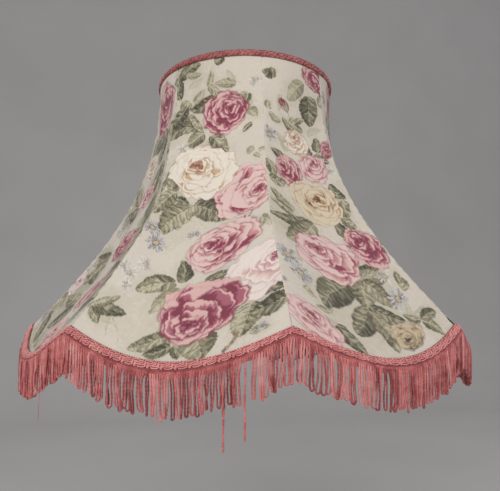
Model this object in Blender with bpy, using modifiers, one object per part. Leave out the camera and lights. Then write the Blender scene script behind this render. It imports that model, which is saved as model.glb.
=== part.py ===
"""Traditional lined fabric lamp shade: flared, eight-panelled, scalloped and fringed.

The shade hangs on a flat fitting ring that sits on the lampholder. Two wire arms drop from
the top ring to rivets in the fitting ring's ears, so the whole shade tilts on the fitting.
Metres, +Z up. The origin is the centre of the fitting ring's underside.
"""
import math

import bmesh
import bpy
from mathutils import Matrix, Vector

# ---- driving dimensions ----------------------------------------------------------------
PANEL_COUNT = 8
PANEL_ANGLE = 2 * math.pi / PANEL_COUNT

TOP_Z = 0.090             # top edge of the cover above the fitting ring's underside
COVER_DEPTH = 0.308       # top edge to lower edge, measured down a strut
SCALLOP_DROP = 0.028      # how far each lobe dips below the strut points
TOP_RADIUS = 0.111        # cover's outer surface at the top ring
EDGE_RADIUS = 0.2565      # cover's outer surface at its lower edge
# a strut's bow, as radius and share of the depth: Bezier points from top to bottom
STRUT_BOW = ((TOP_RADIUS, 0.0), (0.112, 0.40), (0.150, 0.62), (EDGE_RADIUS, 1.0))
PANEL_FLATNESS = 0.75     # 0 = round between struts, 1 = straight from strut to strut
# the frame is bent by hand: degrees that a strut's upper half stands away from its even place
STRUT_LEANS = {0: 1.5, 7: -8.5}

COVER_THICK = 0.0008
LINING_THICK = 0.0006
WIRE_RADIUS = 0.0016      # struts and rings
GAP = 0.0003              # between pieces that touch
SEAM_SETBACK = 0.0005     # each panel's edge to the strut's centre line
STRUT_INSET = 0.0031      # cover's outer surface to the centre of a strut
RING_INSET = 0.0034       # cover's outer surface to the centre of the bottom ring
LINING_INSET = 0.0058     # cover's outer surface to the lining's outer surface

BRAID_HEIGHT = 0.0072
BRAID_THICK = 0.0022
GIMP_HEIGHT = 0.006       # scroll gimp, over the cover's lower edge
HEADING_HEIGHT = 0.0045   # knitted heading that the loops hang from
HEADER_THICK = 0.0018
FRINGE_DEPTH = 0.040      # gimp's top edge to the bottom of the loops
SKIRT_THICK = 0.0028

FITTING_HOLE_RADIUS = 0.0146
FITTING_RADIUS = 0.0225
FITTING_THICK = 0.0012
EAR_HALF_WIDTH = 0.0045
PIVOT_Z = 0.008
RIVET_RADIUS = 0.0014
RIVET_HEAD_RADIUS = 0.0030
RIVET_HEAD_THICK = 0.0012
EYE_RADIUS = 0.0042
EYE_THICK = 0.0015
ARM_RADIUS = 0.0015

STRAND_RADIUS = 0.0010    # the two long strands that hang from the fringe's join
STRAND_LENGTH = 0.056
THREAD_RADIUS = 0.0003
THREAD_LENGTH = 0.040

# ---- scene set-up ----------------------------------------------------------------------
for old in list(bpy.data.objects):
    bpy.data.objects.remove(old, do_unlink=True)

parts = bpy.data.collections.new("lamp_shade")
cutters = bpy.data.collections.new("cutters")
bpy.context.scene.collection.children.link(parts)
bpy.context.scene.collection.children.link(cutters)


def make_material(name, colour, roughness, metallic=0.0):
    material = bpy.data.materials.new(name)
    material.use_nodes = True
    shader = material.node_tree.nodes["Principled BSDF"]
    shader.inputs["Base Color"].default_value = (*colour, 1.0)
    shader.inputs["Roughness"].default_value = roughness
    shader.inputs["Metallic"].default_value = metallic
    return material


COVER_CLOTH = make_material("printed_cotton", (0.62, 0.56, 0.45), 0.9)
LINING_CLOTH = make_material("lining_cloth", (0.70, 0.65, 0.56), 0.8)
FRINGE_YARN = make_material("fringe_yarn", (0.44, 0.12, 0.12), 0.7)
BRAID_YARN = make_material("braid_yarn", (0.35, 0.08, 0.08), 0.7)
FRAME_WIRE = make_material("enamelled_wire", (0.75, 0.73, 0.68), 0.4)
PLATED_STEEL = make_material("plated_steel", (0.60, 0.56, 0.48), 0.35, 0.9)


def adopt(obj, name, material, smooth=True):
    """Name an object, give it its material and put it among the parts."""
    obj.name = name
    obj.data.name = name
    for collection in list(obj.users_collection):
        collection.objects.unlink(obj)
    parts.objects.link(obj)
    obj.data.materials.clear()
    obj.data.materials.append(material)
    if smooth and obj.type == "MESH":
        obj.data.shade_smooth()
    return obj


def make_cutter(obj, name):
    obj.name = name
    for collection in list(obj.users_collection):
        collection.objects.unlink(obj)
    cutters.objects.link(obj)
    obj.hide_render = True
    obj.display_type = "WIRE"
    return obj


def boolean(obj, other, operation):
    modifier = obj.modifiers.new(operation.lower(), "BOOLEAN")
    modifier.operation = operation
    modifier.solver = "EXACT"
    modifier.object = other


# ---- the shade's surface ---------------------------------------------------------------
def smoothstep(low, high, value):
    share = min(max((value - low) / (high - low), 0.0), 1.0)
    return share * share * (3 - 2 * share)


def bezier(points, t):
    """Point of a cubic Bezier curve given by four pairs."""
    u = 1 - t
    weights = (u * u * u, 3 * u * u * t, 3 * u * t * t, t * t * t)
    return [sum(w * p[axis] for w, p in zip(weights, points)) for axis in (0, 1)]


def bow(t, inset):
    """Radius and depth share on a strut line, moved inwards from the cover by inset."""
    radius, share = bezier(STRUT_BOW, t)
    step = 0.002
    ahead = bezier(STRUT_BOW, min(t + step, 1.0))
    behind = bezier(STRUT_BOW, max(t - step, 0.0))
    run = Vector((ahead[0] - behind[0], (ahead[1] - behind[1]) * COVER_DEPTH)).normalized()
    return radius - run.y * inset, share + run.x * inset / COVER_DEPTH


def strut_angle(index, t):
    """Angle of a strut's centre line; strut 0 is at the front and the count goes towards +X."""
    lean = math.radians(STRUT_LEANS.get(index % PANEL_COUNT, 0.0))
    return index * PANEL_ANGLE + lean * (1 - smoothstep(0.25, 0.62, t))


def panel_span(angle, t):
    """Angles of the two struts that an angle lies between."""
    index = math.floor(angle / PANEL_ANGLE)
    if angle < strut_angle(index, t):
        index -= 1
    elif angle >= strut_angle(index + 1, t):
        index += 1
    return strut_angle(index, t), strut_angle(index + 1, t)


def edge_dip(angle):
    """How far the scalloped edge dips below the strut points at this angle."""
    return SCALLOP_DROP * abs(math.sin(math.pi * angle / PANEL_ANGLE))


def flatten(angle, t):
    """Share of the radius kept where the cloth is pulled flat between two struts."""
    flatness = PANEL_FLATNESS * smoothstep(0.0, 0.22, t) * (1 - 0.8 * smoothstep(0.6, 1.0, t))
    first, last = panel_span(angle, t)
    straight = math.cos((last - first) / 2) / math.cos(angle - (first + last) / 2)
    return 1 - flatness + flatness * straight


def shade_point(angle, t, inset=0.0):
    """Point of the shade's wall: angle from the front (-Y) towards +X, t from top to edge."""
    radius, share = bow(t, inset)
    radius *= flatten(angle, t)
    z = TOP_Z - share * (COVER_DEPTH + edge_dip(angle))
    return Vector((radius * math.sin(angle), -radius * math.cos(angle), z))


def hanging_point(angle, drop, outset):
    """Point on the curtain below the lower edge: drop below the edge, outset beyond it."""
    point = shade_point(angle, 1.0)
    outward = Vector((math.sin(angle), -math.cos(angle), 0))
    return point + outward * outset + Vector((0, 0, -drop))


# ---- makers ----------------------------------------------------------------------------
def sheet_object(name, rows, material, thickness, closed=False):
    """Solid from a grid of points: rows run down, points run round towards +angle."""
    mesh = bpy.data.meshes.new(name)
    grid = bmesh.new()
    lines = [[grid.verts.new(point) for point in row] for row in rows]
    columns = len(rows[0])
    for upper, lower in zip(lines, lines[1:]):
        for i in range(columns if closed else columns - 1):
            j = (i + 1) % columns
            grid.faces.new((upper[i], lower[i], lower[j], upper[j]))
    grid.normal_update()
    grid.to_mesh(mesh)
    grid.free()
    obj = bpy.data.objects.new(name, mesh)
    adopt(obj, name, material)
    solid = obj.modifiers.new("thickness", "SOLIDIFY")
    solid.thickness = abs(thickness)
    solid.offset = 1.0 if thickness > 0 else -1.0
    solid.use_even_offset = False
    return obj


def wire_object(name, points, radius, material, closed=False, sides=2):
    """Round wire along points, with filled ends."""
    curve = bpy.data.curves.new(name, "CURVE")
    curve.dimensions = "3D"
    curve.bevel_depth = radius
    curve.bevel_resolution = sides
    curve.use_fill_caps = not closed
    spline = curve.splines.new("POLY")
    spline.points.add(len(points) - 1)
    for spot, point in zip(spline.points, points):
        spot.co = (*point, 1.0)
    spline.use_cyclic_u = closed
    spline.use_smooth = True
    obj = bpy.data.objects.new(name, curve)
    return adopt(obj, name, material)


def smooth_route(knots, count):
    """Evenly numbered points along a Catmull-Rom curve through the knots."""
    ends = [knots[0] * 2 - knots[1], *knots, knots[-1] * 2 - knots[-2]]
    route = []
    for step in range(count):
        place = step / (count - 1) * (len(knots) - 1)
        first = min(int(place), len(knots) - 2)
        t = place - first
        a, b, c, d = ends[first:first + 4]
        route.append(0.5 * (2 * b + (c - a) * t + (2 * a - 5 * b + 4 * c - d) * t ** 2
                            + (3 * b - a - 3 * c + d) * t ** 3))
    return route


def turned_object(name, profile, material, steps, closed=False):
    """Solid turned about Z from (radius, height) pairs that run down its outer side."""
    mesh = bpy.data.meshes.new(name)
    count = len(profile)
    edges = [(i, i + 1) for i in range(count - 1)]
    if closed:
        edges.append((count - 1, 0))
    mesh.from_pydata([(radius, 0, height) for radius, height in profile], edges, [])
    obj = bpy.data.objects.new(name, mesh)
    adopt(obj, name, material, smooth=False)
    screw = obj.modifiers.new("turn", "SCREW")
    screw.axis = "Z"
    screw.steps = steps
    screw.render_steps = steps
    screw.use_merge_vertices = True
    screw.merge_threshold = 0.00001
    screw.use_smooth_shade = True
    return obj


def cylinder(radius, depth, place, axis, vertices=32):
    """Mesh cylinder centred at place, along X or Z."""
    bpy.ops.mesh.primitive_cylinder_add(vertices=vertices, radius=radius, depth=depth)
    obj = bpy.context.object
    turn = Matrix.Rotation(math.pi / 2, 4, "Y") if axis == "X" else Matrix.Identity(4)
    obj.data.transform(Matrix.Translation(place) @ turn)
    return obj


def box(size, place):
    bpy.ops.mesh.primitive_cube_add(size=1.0)
    obj = bpy.context.object
    obj.data.transform(Matrix.Translation(place) @ Matrix.Diagonal((*size, 1.0)))
    return obj


def curve_to_mesh(obj):
    """Turn a curve object into a welded mesh that can take a Boolean."""
    depsgraph = bpy.context.evaluated_depsgraph_get()
    mesh = bpy.data.meshes.new_from_object(obj.evaluated_get(depsgraph))
    weld = bmesh.new()
    weld.from_mesh(mesh)
    bmesh.ops.remove_doubles(weld, verts=weld.verts, dist=0.00001)
    weld.to_mesh(mesh)
    weld.free()
    name = obj.name
    matrix = obj.matrix_world.copy()
    bpy.data.objects.remove(obj, do_unlink=True)
    solid = bpy.data.objects.new(name, mesh)
    solid.matrix_world = matrix
    parts.objects.link(solid)
    return solid


# ---- fitting ring and its rivets -------------------------------------------------------
def build_fitting():
    """Flat stamped ring with two ears bent up at +X and -X."""
    ring = cylinder(FITTING_RADIUS, FITTING_THICK, (0, 0, FITTING_THICK / 2), "Z", 48)
    adopt(ring, "fitting_ring", PLATED_STEEL, smooth=False)
    ear_x = FITTING_RADIUS - FITTING_THICK / 2
    for side in (-1, 1):
        foot = FITTING_THICK / 2
        size = (FITTING_THICK, 2 * EAR_HALF_WIDTH, PIVOT_Z - foot)
        tab = box(size, (side * ear_x, 0, foot + size[2] / 2))
        boolean(ring, make_cutter(tab, f"ear_tab_{side}"), "UNION")
        crown = cylinder(EAR_HALF_WIDTH, FITTING_THICK, (side * ear_x, 0, PIVOT_Z), "X")
        boolean(ring, make_cutter(crown, f"ear_crown_{side}"), "UNION")
    hole = cylinder(FITTING_HOLE_RADIUS, 4 * FITTING_THICK, (0, 0, 0), "Z", 48)
    boolean(ring, make_cutter(hole, "fitting_hole"), "DIFFERENCE")
    bore = cylinder(RIVET_RADIUS + GAP, 3 * FITTING_RADIUS, (0, 0, PIVOT_Z), "X", 20)
    boolean(ring, make_cutter(bore, "ear_bore"), "DIFFERENCE")


def build_rivet(name, side):
    """Domed rivet through an ear and the arm's eye, turned on its own axis."""
    inner_face = FITTING_RADIUS - FITTING_THICK - GAP
    outer_face = FITTING_RADIUS + GAP + EYE_THICK + GAP
    dome = RIVET_HEAD_THICK
    rim = RIVET_HEAD_RADIUS
    profile = (
        (0.0, outer_face + dome),
        (rim * 0.6, outer_face + dome * 0.85),
        (rim, outer_face + dome * 0.3),
        (rim, outer_face),
        (RIVET_RADIUS, outer_face),
        (RIVET_RADIUS, inner_face),
        (rim, inner_face),
        (rim, inner_face - dome * 0.3),
        (rim * 0.6, inner_face - dome * 0.85),
        (0.0, inner_face - dome),
    )
    rivet = turned_object(name, profile, PLATED_STEEL, 14)
    rivet.location = (0, 0, PIVOT_Z)
    rivet.rotation_euler = (0, side * math.pi / 2, 0)


def build_arm(name, side):
    """Wire arm from the top ring down to a flat pierced eye beside the ear."""
    eye_x = FITTING_RADIUS + GAP + EYE_THICK / 2
    root_x = TOP_RADIUS - STRUT_INSET - WIRE_RADIUS - 2 * GAP
    root_z = TOP_Z - WIRE_RADIUS - 2 * GAP
    knots = [Vector((side * x, 0, z)) for x, z in (
        (root_x, root_z),
        (root_x - 0.020, root_z - 0.001),
        (0.062, root_z - 0.014),
        (0.038, root_z - 0.040),
        (eye_x + 0.004, PIVOT_Z + 0.020),
        (eye_x, PIVOT_Z + RIVET_HEAD_RADIUS + 2 * GAP),
    )]
    arm = curve_to_mesh(wire_object(name, smooth_route(knots, 15), ARM_RADIUS, FRAME_WIRE))
    adopt(arm, name, FRAME_WIRE, smooth=False)
    eye = cylinder(EYE_RADIUS, EYE_THICK, (side * eye_x, 0, PIVOT_Z), "X")
    boolean(arm, make_cutter(eye, f"eye_{name}"), "UNION")
    reach = 2 * EYE_THICK
    bore = cylinder(RIVET_RADIUS + GAP, reach, (side * eye_x, 0, PIVOT_Z), "X", 20)
    boolean(arm, make_cutter(bore, f"eye_bore_{name}"), "DIFFERENCE")
    # the wire is thicker than the eye, so it is pared back to the eye's inner face
    inner_x = FITTING_RADIUS + GAP
    pare_width = 0.004
    pare = box((pare_width, 0.01, 0.03), (side * (inner_x - pare_width / 2), 0, PIVOT_Z))
    boolean(arm, make_cutter(pare, f"pare_{name}"), "DIFFERENCE")


# ---- wire frame ------------------------------------------------------------------------
RING_T = 0.9955           # bottom ring's place down the wall, just above the cover's edge
STRUT_TOP_T = 0.0150      # a strut ends below the top ring and above the bottom ring
STRUT_END_T = 0.9890


def build_frame():
    bpy.ops.mesh.primitive_torus_add(
        location=(0, 0, TOP_Z - WIRE_RADIUS - 2 * GAP), major_segments=56, minor_segments=8,
        major_radius=TOP_RADIUS - STRUT_INSET, minor_radius=WIRE_RADIUS)
    adopt(bpy.context.object, "top_ring", FRAME_WIRE)
    ring_steps = 9 * PANEL_COUNT
    round_ring = [shade_point(2 * math.pi * i / ring_steps, RING_T, RING_INSET)
                  for i in range(ring_steps)]
    wire_object("bottom_ring", round_ring, WIRE_RADIUS, FRAME_WIRE, closed=True)
    steps = 13
    for i in range(PANEL_COUNT):
        places = [STRUT_TOP_T + (STRUT_END_T - STRUT_TOP_T) * n / steps for n in range(steps + 1)]
        line = [shade_point(strut_angle(i, t), t, STRUT_INSET) for t in places]
        wire_object(f"strut_{i + 1}", line, WIRE_RADIUS, FRAME_WIRE)


# ---- cloth -----------------------------------------------------------------------------
def build_cover():
    """Eight printed panels, each pulled over two struts and sewn to its neighbours."""
    across, down = 8, 10
    for i in range(PANEL_COUNT):
        rows = []
        for r in range(down + 1):
            t = r / down
            setback = SEAM_SETBACK / bezier(STRUT_BOW, t)[0]
            start = strut_angle(i, t) + setback
            span = strut_angle(i + 1, t) - setback - start
            rows.append([shade_point(start + span * c / across, t) for c in range(across + 1)])
        sheet_object(f"cover_panel_{i + 1}", rows, COVER_CLOTH, -COVER_THICK)


def build_lining():
    """Balloon lining in two halves, seamed at the struts where the arms are fixed."""
    across, down = 24, 9
    top_t, edge_t = 0.0180, 0.9975
    seam_angle = SEAM_SETBACK / TOP_RADIUS
    for name, start in (("lining_front", -math.pi / 2), ("lining_back", math.pi / 2)):
        rows = []
        for r in range(down + 1):
            t = top_t + (edge_t - top_t) * r / down
            span = math.pi - 2 * seam_angle
            rows.append([shade_point(start + seam_angle + span * c / across, t, LINING_INSET)
                         for c in range(across + 1)])
        sheet_object(name, rows, LINING_CLOTH, -LINING_THICK)


def build_neatener(name, angle):
    """Folded strip of lining that covers the slit under an arm."""
    half_angle, across, down = 0.065, 4, 3
    top_t, end_t = 0.0190, 0.0750
    inset = LINING_INSET + LINING_THICK + 2 * GAP
    rows = []
    for r in range(down + 1):
        t = top_t + (end_t - top_t) * r / down
        rows.append([shade_point(angle + half_angle * (2 * c / across - 1), t, inset)
                     for c in range(across + 1)])
    sheet_object(name, rows, LINING_CLOTH, -0.0012)


# ---- trimmings -------------------------------------------------------------------------
def build_top_braid():
    """Scroll braid glued round the top edge."""
    inner = TOP_RADIUS + 0.0005
    outer = inner + BRAID_THICK
    top = TOP_Z + 0.0010
    low = top - BRAID_HEIGHT
    round_off = 0.0006
    profile = (
        (inner, top),
        (outer - round_off, top),
        (outer, top - round_off),
        (outer, low + round_off),
        (outer - round_off, low),
        (inner, low),
    )
    turned_object("top_braid", profile, BRAID_YARN, 56, closed=True)


GIMP_TOP_T = 1.0 - GIMP_HEIGHT / COVER_DEPTH


def build_header():
    """Scroll gimp over the cover's edge, with the knitted heading hanging below it."""
    columns = 10 * PANEL_COUNT
    clear = 2 * GAP
    angles = [2 * math.pi * i / columns for i in range(columns)]
    rows = [[shade_point(a, GIMP_TOP_T, -clear) for a in angles],
            [shade_point(a, 1.0, -clear) for a in angles],
            [hanging_point(a, HEADING_HEIGHT, clear) for a in angles]]
    sheet_object("fringe_header", rows, BRAID_YARN, HEADER_THICK, closed=True)


def build_skirts():
    """Curtain of loops, one length for each lobe of the scallop."""
    across = 8
    setback = 2 * GAP / EDGE_RADIUS
    for i in range(PANEL_COUNT):
        start = i * PANEL_ANGLE + setback
        span = PANEL_ANGLE - 2 * setback
        angles = [start + span * c / across for c in range(across + 1)]
        rows = [[hanging_point(a, drop, 0.0) for a in angles]
                for drop in (HEADING_HEIGHT + 2 * GAP, FRINGE_DEPTH - GIMP_HEIGHT)]
        sheet_object(f"fringe_skirt_{i + 1}", rows, FRINGE_YARN, SKIRT_THICK)


# Two long strands hang in front of the loops at the fringe's join: angle from the front in
# degrees, length, and sideways drift on the way down. A stray thread hangs on the next lobe.
STRANDS = (
    ("long_strand_1", -12.2, STRAND_LENGTH + 0.002, 0.0010),
    ("long_strand_2", -8.4, STRAND_LENGTH, -0.0006),
)
THREAD_ANGLE = -52.4
THREAD_START = 0.020      # below the cover's edge
FREE_OUTSET = 0.0046      # the hanging yarns' distance beyond the cover's edge


def hanging_yarn(name, angle_deg, start, length, drift, radius):
    """A limp yarn that leaves the fringe and hangs straight down with a slight wander."""
    angle = math.radians(angle_deg)
    top = hanging_point(angle, start, FREE_OUTSET)
    sideways = Vector((math.cos(angle), math.sin(angle), 0))
    knots = [top + sideways * drift * wander - Vector((0, 0, length * share))
             for share, wander in ((0, 0), (0.12, 0), (0.35, 0.5), (0.6, 1.0), (0.8, 0.7), (1, 1.0))]
    wire_object(name, smooth_route(knots, 12), radius, FRINGE_YARN)


def build_free_yarns():
    for name, angle, length, drift in STRANDS:
        hanging_yarn(name, angle, HEADING_HEIGHT + GAP, length, drift, STRAND_RADIUS)
    hanging_yarn("stray_thread", THREAD_ANGLE, THREAD_START, THREAD_LENGTH, 0.0008, THREAD_RADIUS)


build_fitting()
build_rivet("pivot_rivet_left", -1)
build_rivet("pivot_rivet_right", 1)
build_arm("gimbal_arm_left", -1)
build_arm("gimbal_arm_right", 1)
build_frame()
build_cover()
build_lining()
build_neatener("neatener_left", -math.pi / 2)
build_neatener("neatener_right", math.pi / 2)
build_top_braid()
build_header()
build_skirts()
build_free_yarns()
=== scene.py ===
import math

import bpy
import numpy as np
from mathutils import Matrix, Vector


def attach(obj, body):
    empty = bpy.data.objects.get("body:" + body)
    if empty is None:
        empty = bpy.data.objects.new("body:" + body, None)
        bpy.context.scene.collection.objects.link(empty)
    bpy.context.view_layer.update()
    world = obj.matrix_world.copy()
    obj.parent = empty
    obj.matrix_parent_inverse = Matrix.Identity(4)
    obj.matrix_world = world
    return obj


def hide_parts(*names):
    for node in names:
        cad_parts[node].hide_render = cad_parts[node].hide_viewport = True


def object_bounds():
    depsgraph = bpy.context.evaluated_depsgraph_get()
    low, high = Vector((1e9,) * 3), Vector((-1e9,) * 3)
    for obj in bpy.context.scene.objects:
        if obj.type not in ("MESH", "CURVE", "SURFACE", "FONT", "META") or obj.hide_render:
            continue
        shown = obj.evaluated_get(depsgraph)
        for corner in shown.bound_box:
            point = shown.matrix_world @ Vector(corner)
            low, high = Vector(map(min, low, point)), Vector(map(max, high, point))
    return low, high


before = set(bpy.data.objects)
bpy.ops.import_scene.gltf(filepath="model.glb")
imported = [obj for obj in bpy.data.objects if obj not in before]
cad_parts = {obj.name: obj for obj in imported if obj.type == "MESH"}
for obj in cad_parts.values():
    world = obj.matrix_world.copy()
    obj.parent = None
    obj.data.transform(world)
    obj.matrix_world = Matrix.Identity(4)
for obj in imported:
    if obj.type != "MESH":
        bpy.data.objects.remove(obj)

cad_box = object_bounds()
scene = bpy.context.scene
scene.view_settings.view_transform = "Standard"

# ---- camera ------------------------------------------------------------------------------
# Stands level with the fringe, a little to the left of the front strut, and looks up
# slightly into the shade.
VIEW_SIDE = math.radians(-8.3)
VIEW_DISTANCE = 0.647
EYE_HEIGHT = -0.2027
LOOK_UP = math.radians(7.77)
LOOK_ASIDE = math.radians(0.5)
HEAD_TILT = math.radians(-0.2)
LENS_MM = 36.8

camera = bpy.data.objects.new("camera", bpy.data.cameras.new("camera"))
camera.data.lens = LENS_MM
scene.collection.objects.link(camera)
stand = (VIEW_DISTANCE * math.sin(VIEW_SIDE), -VIEW_DISTANCE * math.cos(VIEW_SIDE), EYE_HEIGHT)
camera.matrix_world = (
    Matrix.Translation(stand)
    @ Matrix.Rotation(VIEW_SIDE - LOOK_ASIDE, 4, "Z")
    @ Matrix.Rotation(math.pi / 2 + LOOK_UP, 4, "X")
    @ Matrix.Rotation(HEAD_TILT, 4, "Z"))
scene.camera = camera

# ---- wall of the shade -------------------------------------------------------------------
# The cloth is pulled over eight bowed wire struts, lies nearly flat between them and ends
# in a scalloped edge. Every piece is set out on this wall: an angle from the front towards
# the right-hand side, and t from 0 at the top edge to 1 at the lower edge.
PANELS = 8
PANEL_ANGLE = 2 * math.pi / PANELS
TOP_Z = 0.090
DEPTH = 0.308
LOBE_DROP = 0.028
TOP_RADIUS = 0.111
EDGE_RADIUS = 0.2565
BOW = np.array(((TOP_RADIUS, 0.0), (0.112, 0.40), (0.150, 0.62), (EDGE_RADIUS, 1.0)))
FLATNESS = 0.75
LEANS = np.radians((1.5, 0, 0, 0, 0, 0, 0, -8.5))    # of each strut's upper half


def ease(low, high, value):
    share = np.clip((value - low) / (high - low), 0, 1)
    return share * share * (3 - 2 * share)


def strut_angle(index, t):
    return index * PANEL_ANGLE + LEANS[index % PANELS] * (1 - ease(0.25, 0.62, t))


def bow_point(t):
    """Radius and share of the depth on a strut."""
    u = 1 - t
    weights = (u ** 3, 3 * u * u * t, 3 * u * t * t, t ** 3)
    return sum(weight[..., None] * knot for weight, knot in zip(weights, BOW))


def wall(angle, t, inset=0.0):
    """Points of the wall, moved inwards by inset."""
    angle, t, inset = np.broadcast_arrays(np.asarray(angle, float), t, inset)
    index = np.floor(angle / PANEL_ANGLE).astype(int)
    index = index - (angle < strut_angle(index, t)) + (angle >= strut_angle(index + 1, t))
    first, last = strut_angle(index, t), strut_angle(index + 1, t)
    flat = FLATNESS * ease(0, 0.22, t) * (1 - 0.8 * ease(0.6, 1, t))
    straight = np.cos((last - first) / 2) / np.cos(angle - (first + last) / 2)
    step = 0.002
    run = (bow_point(np.minimum(t + step, 1)) - bow_point(np.maximum(t - step, 0))) * (1, DEPTH)
    run /= np.linalg.norm(run, axis=-1, keepdims=True)
    place = bow_point(t)
    radius = (place[..., 0] - run[..., 1] * inset) * (1 - flat + flat * straight)
    share = place[..., 1] + run[..., 0] * inset / DEPTH
    dip = LOBE_DROP * np.abs(np.sin(math.pi * angle / PANEL_ANGLE))
    z = TOP_Z - share * (DEPTH + dip)
    return np.stack((radius * np.sin(angle), -radius * np.cos(angle), z), -1)


def outward(angle):
    angle = np.asarray(angle, float)
    return np.stack((np.sin(angle), -np.cos(angle), 0 * angle), -1)


def hanging(angle, drop, outset):
    """Points below the lower edge: drop below it, outset beyond it."""
    angle, drop, outset = np.broadcast_arrays(np.asarray(angle, float), drop, outset)
    down = np.stack((0 * drop, 0 * drop, -drop), -1)
    return wall(angle, 1.0) + outward(angle) * outset[..., None] + down


def smooth_line(knots, count):
    """Points along a Catmull-Rom curve through the knots."""
    knots = np.asarray(knots, float)
    ends = np.vstack((2 * knots[0] - knots[1], knots, 2 * knots[-1] - knots[-2]))
    place = np.linspace(0, len(knots) - 1, count)
    first = np.minimum(place.astype(int), len(knots) - 2)
    t = (place - first)[:, None]
    a, b, c, d = (ends[first + k] for k in range(4))
    return 0.5 * (2 * b + (c - a) * t + (2 * a - 5 * b + 4 * c - d) * t ** 2
                  + (3 * b - a - 3 * c + d) * t ** 3)


# ---- yarn of the fringe ------------------------------------------------------------------
# Two-ply viscose yarn, dyed a dusty rose red. Viscose has a soft lustre along the strand,
# and the dye has taken unevenly, so one loop is a little darker or pinker than the next.
YARN_THICK = 0.0019
YARN_PITCH = 0.0062       # length of one full twist
YARN_INK = "c46966"
YARN_DARK = "862f30"
YARN_PALE = "e59c97"


def linear(hex_colour):
    """Linear colour from an sRGB hex value."""
    parts = [int(hex_colour[i:i + 2], 16) / 255 for i in (0, 2, 4)]
    return [p / 12.92 if p <= 0.04045 else ((p + 0.055) / 1.055) ** 2.4 for p in parts]


def add(tree, kind, inputs=None, **settings):
    """Add a shader node; an input given another node's output is linked to it."""
    node = tree.nodes.new("ShaderNode" + kind)
    for name, value in settings.items():
        setattr(node, name, value)
    for name, value in (inputs or {}).items():
        socket = node.inputs[name]
        if isinstance(value, bpy.types.NodeSocket):
            tree.links.new(value, socket)
        elif isinstance(value, str):
            socket.default_value = (*linear(value), 1)
        else:
            socket.default_value = value
    return node


def new_material(name):
    """Empty material and its node tree."""
    material = bpy.data.materials.new(name)
    material.use_nodes = True
    material.node_tree.nodes.clear()
    return material, material.node_tree


def surface(tree, inputs):
    """End a material with a Principled shader."""
    shader = add(tree, "BsdfPrincipled", inputs)
    add(tree, "OutputMaterial", {"Surface": shader.outputs[0]})


def ramp(tree, factor, stops):
    """Colour ramp with (place, hex colour) stops."""
    node = add(tree, "ValToRGB", {0: factor})
    elements = node.color_ramp.elements
    while len(elements) < len(stops):
        elements.new(0.5)
    for element, (place, colour) in zip(elements, stops):
        element.position = place
        element.color = (*linear(colour), 1)
    return node.outputs["Color"]


def viscose_yarn(name, dark, middle, pale):
    """Dyed viscose: darker in the grooves of the twist, with fine filaments along it."""
    material, tree = new_material(name)
    # tone attribute: the dye's unevenness, and on the gimp, braid and loops also painted highlights and
    # painted shade
    dye_and_painted_light = add(tree, "Attribute", attribute_name="dye_and_painted_light").outputs["Fac"]
    along = add(tree, "UVMap", uv_map="cloth").outputs[0]
    filaments = add(tree, "Mapping", {"Vector": along, "Scale": (700, 3500, 1)})
    fine = add(tree, "TexNoise", {"Vector": filaments.outputs[0], "Scale": 1.0, "Detail": 3.0})
    place = add(tree, "TexCoord").outputs["Object"]
    patches = add(tree, "TexNoise", {"Vector": place, "Scale": 140.0, "Detail": 3.0})
    uneven = add(tree, "Math", {0: fine.outputs["Fac"], 1: patches.outputs["Fac"]},
                 operation="MULTIPLY")
    depth = add(tree, "Math", {0: uneven.outputs[0], 1: 1.3, 2: dye_and_painted_light},
                operation="MULTIPLY_ADD")
    colour = ramp(tree, depth.outputs[0], ((0.26, dark), (0.54, middle), (0.88, pale)))
    raised = add(tree, "Bump", {"Height": fine.outputs["Fac"], "Strength": 0.5,
                                "Distance": 0.0003})
    surface(tree, {"Base Color": colour, "Roughness": 0.58, "Normal": raised.outputs[0],
                   "Sheen Weight": 0.25, "Sheen Roughness": 0.45})
    return material


def grid_faces(rows, columns, closed=False):
    """Faces of a sheet whose rows run down and whose columns run round."""
    last = columns if closed else columns - 1
    i, j = np.meshgrid(np.arange(rows - 1), np.arange(last), indexing="ij")
    here, beside = i * columns + j, i * columns + (j + 1) % columns
    return np.stack((here, here + columns, beside + columns, beside), -1).reshape(-1, 4)


def twist_yarn(paths, side, thick, pitch, plies=2, sides=8, groove=0.24):
    """Points, faces and cloth coordinates of twisted yarn laid along each path."""
    paths = np.asarray(paths, float)
    count, rings = paths.shape[:2]
    tangent = np.gradient(paths, axis=1)
    tangent /= np.linalg.norm(tangent, axis=-1, keepdims=True)
    side = np.broadcast_to(side, paths.shape)
    side = side - (side * tangent).sum(-1, keepdims=True) * tangent
    side /= np.linalg.norm(side, axis=-1, keepdims=True)
    other = np.cross(tangent, side)
    steps = np.linalg.norm(np.diff(paths, axis=1), axis=-1)
    along = np.concatenate((np.zeros((count, 1)), np.cumsum(steps, axis=1)), axis=1)[..., None]
    turn = np.arange(sides) * 2 * math.pi / sides
    thick = np.broadcast_to(np.asarray(thick, float), (count, rings))[..., None]
    wave = np.cos(plies * (turn - 2 * math.pi * along / pitch / plies * 2))
    radius = thick / 2 * (1 - groove / 2 + groove / 2 * wave)
    points = (paths[:, :, None]
              + (radius * np.cos(turn))[..., None] * side[:, :, None]
              + (radius * np.sin(turn))[..., None] * other[:, :, None])
    i, j = np.meshgrid(np.arange(rings - 1), np.arange(sides), indexing="ij")
    here, beside = i * sides + j, i * sides + (j + 1) % sides
    tube = np.stack((here, beside, beside + sides, here + sides), -1).reshape(-1, 4)
    faces = (tube + np.arange(count)[:, None, None] * rings * sides).reshape(-1, 4)
    around = np.broadcast_to(turn * YARN_THICK / 2, radius.shape)
    cloth = np.stack((np.broadcast_to(along, radius.shape), around), -1)
    return points.reshape(-1, 3), faces, cloth.reshape(-1, 2)


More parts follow.
